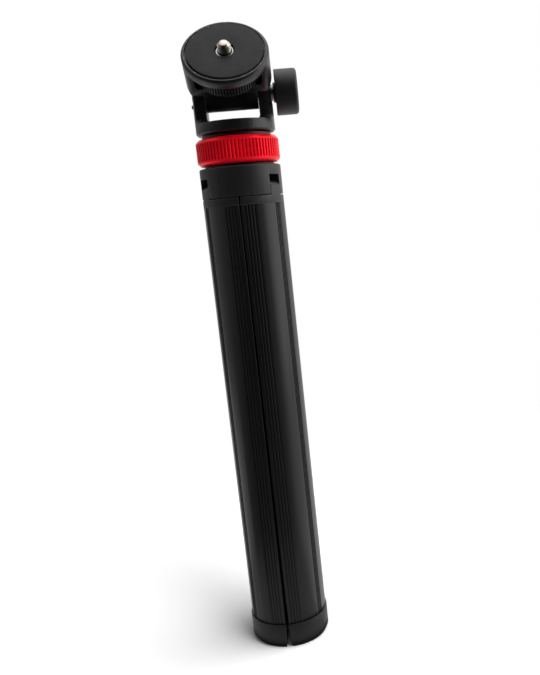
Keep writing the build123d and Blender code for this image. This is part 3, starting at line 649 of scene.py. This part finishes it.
# Dark and grey cards, which only reflections see: they keep the middle of the black legs dark.
# Each stands from one bearing to the next, in degrees from the camera's side towards the right.
cards = {"radius": 600, "height": 900, "step": 5, "lift": 0.4}
cardLevels = {
    "far left card": (-150, -100, 0.45),
    "left card": (-100, -75, 0.36),
    "left grey card": (-75, -50, 0.2),
    "left dark card": (-50, -28, 0.06),
    "front card": (-28, 22, 0.004),
    "right dark card": (22, 42, 0.08),
    "right grey card": (42, 62, 0.27),
}
floorCards = {
    "floor card": {"start": -85, "end": 62, "inner": 90, "outer": 600, "level": 0.13},
    "near floor card": {"start": -120, "end": 90, "inner": 26, "outer": 90, "level": 0.48},
    "under floor card": {"start": -180, "end": 180, "inner": 0.5, "outer": 26, "level": 0.02},
}


def addCamera():
    lens = bpy.data.cameras.new("photograph")
    wide, high = studio["frame"]
    longSide = max(wide, high)
    lens.sensor_width = studio["sensor"]
    lens.lens = studio["focal"] / longSide * studio["sensor"]
    lens.shift_x = -(studio["principal"][0] - wide / 2) / longSide
    lens.shift_y = (studio["principal"][1] - high / 2) / longSide
    lens.clip_start, lens.clip_end = (length * mm for length in studio["clip"])
    pitch = radians(studio["lookDown"])
    roll = radians(studio["roll"])
    forward = Vector((0, cos(pitch), -sin(pitch)))
    right = Vector((1, 0, 0))
    upward = Vector((0, sin(pitch), cos(pitch)))
    across = right * cos(roll) - upward * sin(roll)
    raised = right * sin(roll) + upward * cos(roll)
    camera = joinCollection(bpy.data.objects.new("photograph", lens))
    facing = Matrix((across, raised, -forward)).transposed().to_4x4()
    camera.matrix_world = Matrix.Translation(Vector(studio["position"]) * mm) @ facing
    bpy.context.scene.camera = camera


def seenDirectly(tree):
    # One where the camera, a reflection or a ray through glass looks, and one for the camera alone
    rays = addNode(tree, "ShaderNodeLightPath").outputs
    seen = rays["Is Camera Ray"]
    for kind in ("Is Glossy Ray", "Is Transmission Ray"):
        seen = addNode(tree, "ShaderNodeMath", {0: seen, 1: rays[kind]}, operation="MAXIMUM").outputs[0]
    return seen, rays["Is Camera Ray"]


def addFloor():
    # White paper: near the feet it takes the lamps' shadow with a painted shadow added on the side away from
    # the light, and further off it turns to plain white
    finish = bpy.data.materials.new("white studio paper")
    finish.use_nodes = True
    tree = finish.node_tree
    tree.nodes.clear()
    maths = arithmetic(tree)
    seen, byCamera = seenDirectly(tree)
    spot = addNode(tree, "ShaderNodeNewGeometry").outputs["Position"]
    openShare = addNode(tree, "ShaderNodeAmbientOcclusion", {
        "Distance": studio["shadeReach"] * mm, "Normal": studio["shadeFrom"],
    }).outputs["AO"]
    # The painted shadow lies only on the side away from its light
    toLight = addNode(tree, "ShaderNodeVectorMath", {0: spot, 1: studio["shadeFrom"]},
                      operation="DOT_PRODUCT")
    shadeEdge = [length * mm for length in studio["shadeEdge"]]
    behind = spread(tree, toLight.outputs["Value"], shadeEdge, smooth=True)
    # How much the painted shadow darkens the paper
    dark = maths("MULTIPLY", spread(tree, openShare, studio["shadeShares"]), behind)
    colour = maths("MULTIPLY", spread(tree, byCamera, (0, 1), studio["paper"]), maths("SUBTRACT", 1, dark))
    paper = addNode(tree, "ShaderNodeBsdfDiffuse", {"Color": colour}).outputs[0]
    white = addNode(tree, "ShaderNodeEmission", {"Color": (1, 1, 1, 1), "Strength": 1.0}).outputs[0]
    away = addNode(tree, "ShaderNodeVectorMath", {0: spot}, operation="LENGTH").outputs["Value"]
    fade = spread(tree, away, [length * mm for length in studio["paperSoft"]], smooth=True)
    mirrored = maths("SUBTRACT", seen, byCamera)
    plain = maths("MAXIMUM", maths("MULTIPLY", fade, seen), mirrored)
    shown = addNode(tree, "ShaderNodeMixShader", {0: plain, 1: paper, 2: white}).outputs[0]
    addNode(tree, "ShaderNodeOutputMaterial", {"Surface": shown})
    half = studio["floor"] / 2 * mm
    corners = [(-half, -half, 0), (half, -half, 0), (half, half, 0), (-half, half, 0)]
    mesh = bpy.data.meshes.new("floor")
    mesh.from_pydata(corners, [], [(0, 1, 2, 3)])
    mesh.materials.append(finish)
    joinCollection(bpy.data.objects.new("floor", mesh))


def addWorld():
    world = bpy.data.worlds.new("white studio")
    world.use_nodes = True
    tree = world.node_tree
    tree.nodes.clear()
    seen = seenDirectly(tree)[0]
    # Brighter on the right, so that the shadow falls to the left
    spot = addNode(tree, "ShaderNodeTexCoord").outputs["Generated"]
    across = addNode(tree, "ShaderNodeSeparateXYZ", {0: spot}).outputs["X"]
    strength = spread(tree, seen, (0, 1), (spread(tree, across, (-1, 1), studio["worldFill"]), 1.0))
    light = addNode(tree, "ShaderNodeBackground", {"Color": (1, 1, 1, 1), "Strength": strength})
    addNode(tree, "ShaderNodeOutputWorld", {"Surface": light.outputs[0]})
    bpy.context.scene.world = world


def addSoftBox(name, box):
    # A flat lamp whose face is as bright as its level says, turned towards the aim
    lamp = bpy.data.lights.new(name, "AREA")
    lamp.shape = "RECTANGLE"
    lamp.size, lamp.size_y = (length * mm for length in box["size"])
    lamp.energy = box["level"] * pi * lamp.size * lamp.size_y
    item = joinCollection(bpy.data.objects.new(name, lamp))
    item.visible_glossy = box["mirrored"]
    facing = (Vector(box["spot"]) - Vector(boxAim)) * mm
    item.matrix_world = placeFrom(Vector(box["spot"]) * mm, facing)


def cardObject(name, spots, faces, level):
    # A card of one brightness that only reflections see
    finish = bpy.data.materials.new(name)
    finish.use_nodes = True
    tree = finish.node_tree
    tree.nodes.clear()
    glow = addNode(tree, "ShaderNodeEmission", {"Color": (1, 1, 1, 1), "Strength": level}).outputs[0]
    addNode(tree, "ShaderNodeOutputMaterial", {"Surface": glow})
    mesh = bpy.data.meshes.new(name)
    mesh.from_pydata(spots, [], faces)
    mesh.materials.append(finish)
    card = joinCollection(bpy.data.objects.new(name, mesh))
    card.visible_camera = False
    card.visible_diffuse = False
    card.visible_transmission = False
    card.visible_shadow = False


def addArc(name, start, end, first, second, level):
    # A card along an arc between two edges, each given by its radius and height
    steps = round((end - start) / cards["step"])
    spots = []
    for step in range(steps + 1):
        bearing = radians(start + (end - start) * step / steps)
        for radius, height in (first, second):
            spots.append(Vector((radius * sin(bearing), -radius * cos(bearing), height)) * mm)
    faces = [(2 * step, 2 * step + 2, 2 * step + 3, 2 * step + 1) for step in range(steps)]
    cardObject(name, spots, faces, level)


addCamera()
addFloor()
addWorld()
for name, box in softBoxes.items():
    addSoftBox(name, box)
for name, (start, end, level) in cardLevels.items():
    addArc(name, start, end, (cards["radius"], 0), (cards["radius"], cards["height"]), level)
for name, card in floorCards.items():
    edges = [(card[edge], cards["lift"]) for edge in ("inner", "outer")]
    addArc(name, card["start"], card["end"], *edges, card["level"])
print("studio set")


# The head

headPivot = Vector(joints["tilt"]["pos_m"])
tiltAxis = joints["tilt"]["axis"]
headPlace = placeFrom(headPivot, joints["thumb_wheel_turn"]["axis"], tiltAxis)
knobPlace = placeFrom(headPivot, tiltAxis, (0, 1, 0))


def makeThumbWheel():
    low, high = spreadOf("thumb_wheel", headPlace)
    sizes = {"knurls": 68, "knurlSegments": 10, "knurlDepth": 0.5, "ridgeShare": 0.42, "margin": 0.15,
             "runOut": 0.35, "rim": 1, "edge": 0.4, "boss": 4.05, "bossEdge": 0.25, "bore": 2.6,
             "wheelTop": 22.55}
    radius = high.x
    bottom, bossTop = low.z, high.z
    top, edge = sizes["wheelTop"], sizes["edge"]
    corners = [
        (sizes["bore"], bottom, 0), (radius - edge, bottom, 0), (radius, bottom + edge, 0),
        (radius, bottom + 2 * edge, 0), (radius, top - 2 * edge, 0), (radius, top - edge, 0),
        (radius - edge, top, 0), (sizes["boss"], top, 0), (sizes["boss"], bossTop, sizes["bossEdge"]),
        (sizes["bore"], bossTop, 0), (sizes["bore"], bottom, 0),
    ]
    flutes = {"count": sizes["knurls"], "depth": sizes["knurlDepth"], "ridgeShare": sizes["ridgeShare"],
              "low": bottom + sizes["margin"], "high": top - sizes["margin"], "runOut": sizes["runOut"],
              "innerLimit": radius - sizes["rim"]}
    makeTurned("thumbWheel", rounded(corners), "thumb_wheel", ["thumb_wheel"], "knurled_black_metal",
               sizes["knurls"] * sizes["knurlSegments"], headPlace, flutes)


def makeCameraScrew():
    # A 1/4 inch camera thread: 20 turns to the inch
    low, high = spreadOf("camera_screw", headPlace)
    sizes = {"pitch": 1.27, "threadDepth": 0.68, "flatShare": 0.12, "neck": 2.5, "threadStart": 26.5,
             "top": 31.2, "tipRadius": 1.9, "tipSlope": 1.1, "tipDish": 0.15, "rowsPerPitch": 18,
             "segments": 72, "sharpAngle": 50}
    length = sizes["top"] - low.z
    # Two more rows close the ends at the axis, and one more ends the last step
    rows = int(length / sizes["pitch"] * sizes["rowsPerPitch"]) + 3
    values = {
        "Segments": sizes["segments"], "Rows": rows, "Radius": high.x * mm, "Neck": sizes["neck"] * mm,
        "Thread Start": (sizes["threadStart"] - low.z) * mm, "Length": length * mm,
        "Pitch": sizes["pitch"] * mm, "Thread Depth": sizes["threadDepth"] * mm,
        "Flat Share": sizes["flatShare"], "Tip Radius": sizes["tipRadius"] * mm,
        "Tip Slope": sizes["tipSlope"], "Tip Dish": sizes["tipDish"] * mm,
        "Finish": finishes["stainless_steel"],
    }
    place = headPlace @ Matrix.Translation((0, 0, low.z * mm))
    mesh = grow("cameraScrew", threadedRod, [(0, 0), (0, 1)], values, place)
    finishPiece("cameraScrew", mesh, "thumb_wheel", ["camera_screw"], sizes["sharpAngle"])


def makeScrewCollar():
    # The bright collar that shows round the thread in the pad's hole, on the thumb wheel's boss
    sizes = {"bore": 3.35, "radius": 4.2, "bottom": 26.3, "top": 26.75, "edge": 0.2, "segments": 64}
    corners = [
        (sizes["bore"], sizes["bottom"], 0), (sizes["radius"], sizes["bottom"], 0),
        (sizes["radius"], sizes["top"], sizes["edge"]), (sizes["bore"], sizes["top"], sizes["edge"]),
        (sizes["bore"], sizes["bottom"], 0),
    ]
    makeTurned("screwCollar", rounded(corners), "thumb_wheel", ["camera_screw"], "zinc_steel",
               sizes["segments"], headPlace)


def makeRubberPad():
    # Moulded a little smaller than its seat, so a dark line runs round it
    low, high = spreadOf("rubber_pad", headPlace)
    sizes = {"bore": 4.6, "edge": 0.3, "boreEdge": 0.2, "side": 0.5, "sink": 0.3, "segments": 128}
    radius, top = high.x - sizes["side"], high.z - sizes["sink"]
    corners = [
        (sizes["bore"], low.z, 0), (radius, low.z, 0), (radius, top, sizes["edge"]),
        (sizes["bore"], top, sizes["boreEdge"]), (sizes["bore"], low.z, 0),
    ]
    makeTurned("rubberPad", rounded(corners), "tilt_head", ["rubber_pad"], "pad_rubber", sizes["segments"],
               headPlace)


def makeTiltKnob():
    low, high = spreadOf("tilt_knob", knobPlace)
    sizes = {"bore": 2.1, "neck": 4.75, "neckLength": 1.0, "neckEdge": 0.15, "neckFillet": 0.1,
             "innerEdge": 0.5, "outerRound": 1.6, "dish": 0.35, "dishRadius": 7.8, "dishEdge": 0.3,
             "segments": 128}
    radius = high.x
    start, end = low.z, high.z
    face, dishFloor = start + sizes["neckLength"], end - sizes["dish"]
    corners = [
        (sizes["bore"], start, 0), (sizes["neck"], start, sizes["neckEdge"]),
        (sizes["neck"], face, sizes["neckFillet"]), (radius, face, sizes["innerEdge"]),
        (radius, end, sizes["outerRound"]), (sizes["dishRadius"], end, sizes["dishEdge"]),
        (sizes["dishRadius"] - sizes["dish"], dishFloor, sizes["dishEdge"]), (0, dishFloor, 0),
    ]
    makeTurned("tiltKnob", [Vector((0, start))] + rounded(corners), "tilt_knob", ["tilt_knob"],
               "turned_black_metal", sizes["segments"], knobPlace)


def makeNutCorner():
    # The corner of the tilt nut, which stands a little out of the left arm
    sizes = {"radius": 0.95, "start": -19.0, "end": -20.15, "round": 0.4, "height": 285.7, "segments": 24}
    corners = [(0, sizes["start"], 0), (sizes["radius"], sizes["start"], 0),
               (sizes["radius"], sizes["end"], sizes["round"]), (0, sizes["end"], 0)]
    place = placeFrom(Vector((0, 0, sizes["height"])) * mm, tiltAxis, (0, 1, 0))
    makeTurned("nutCorner", rounded(corners), bodyOf["tilt_nut"], [], "turned_black_metal", sizes["segments"],
               place)


def makePanShadeSkirt():
    # A dark ring added round the pan disc, out to near the yoke's edge: painted shade in the gap between the
    # yoke and the lock ring
    discTop = spreadOf("pan_base", Matrix())[1].z
    sizes = {"inner": 14.52, "outer": 17.0, "thick": 1.2, "drop": 0.1, "edge": 0.15, "segments": 96}
    top = discTop - sizes["drop"]
    bottom = top - sizes["thick"]
    corners = [
        (sizes["inner"], bottom, 0), (sizes["outer"], bottom, sizes["edge"]),
        (sizes["outer"], top, sizes["edge"]), (sizes["inner"], top, 0), (sizes["inner"], bottom, 0),
    ]
    makeTurned("panShadeSkirt", rounded(corners), bodyOf["pan_base"], [], "turned_black_metal", sizes["segments"])


makeThumbWheel()
makeCameraScrew()
makeScrewCollar()
makeNutCorner()
makePanShadeSkirt()
makeRubberPad()
makeTiltKnob()
headRound = 0.25
soften("mount_bracket", "mountBracket", headRound)
soften("yoke", "yokeBody", headRound)
print("head made")


# The twist lock

def makeLockRing():
    low, high = spreadOf("lock_ring", Matrix())
    sizes = {"chamfer": 1.5, "flutes": 72, "fluteSegments": 12, "fluteDepth": 0.6, "ridgeShare": 0.4,
             "margin": 0.5, "runOut": 0.5, "rim": 1, "bore": 15.36, "lipBore": 13.6, "lipHeight": 2.4,
             "recess": 17.4, "recessHeight": 0.9, "edge": 0.12}
    radius, bottom, top = high.x, low.z, high.z
    chamfer, edge, runOut = sizes["chamfer"], sizes["edge"], sizes["runOut"]
    fluteLow = bottom + chamfer + sizes["margin"]
    fluteHigh = top - chamfer - sizes["margin"]
    lip, recessTop = top - sizes["lipHeight"], bottom + sizes["recessHeight"]
    corners = [
        (sizes["recess"], bottom, 0), (radius - chamfer, bottom, edge), (radius, bottom + chamfer, edge),
        (radius, fluteLow, 0), (radius, fluteLow + runOut, 0), (radius, fluteHigh - runOut, 0),
        (radius, fluteHigh, 0), (radius, top - chamfer, edge), (radius - chamfer, top, edge),
        (sizes["lipBore"], top, edge), (sizes["lipBore"], lip, 0), (sizes["bore"], lip, 0),
        (sizes["bore"], recessTop, 0), (sizes["recess"], recessTop, 0), (sizes["recess"], bottom, 0),
    ]
    flutes = {"count": sizes["flutes"], "depth": sizes["fluteDepth"], "ridgeShare": sizes["ridgeShare"],
              "low": fluteLow, "high": fluteHigh, "runOut": runOut, "innerLimit": radius - sizes["rim"]}
    makeTurned("lockRing", rounded(corners), "lock_ring", ["lock_ring"], "red_anodised",
               sizes["flutes"] * sizes["fluteSegments"], flutes=flutes)


makeLockRing()
hubRound = 0.22
soften("hub", "hubCollar", hubRound)
print("lock and hub made")


# The legs

legRounds = {"rail": 0.15, "cap": 0.22, "foot": 0.25, "sole": 0.2}
for leg in (1, 2, 3):
    soften(f"leg_{leg}_rail", f"leg{leg}Rail", legRounds["rail"])
    soften(f"leg_{leg}_hinge_cap", f"leg{leg}HingeCap", legRounds["cap"])
    soften(f"leg_{leg}_foot", f"leg{leg}Foot", legRounds["foot"])
    soften(f"leg_{leg}_sole", f"leg{leg}Sole", legRounds["sole"])
print("legs made")

# White has to stay white
bpy.context.scene.view_settings.view_transform = "Standard"

print("done")
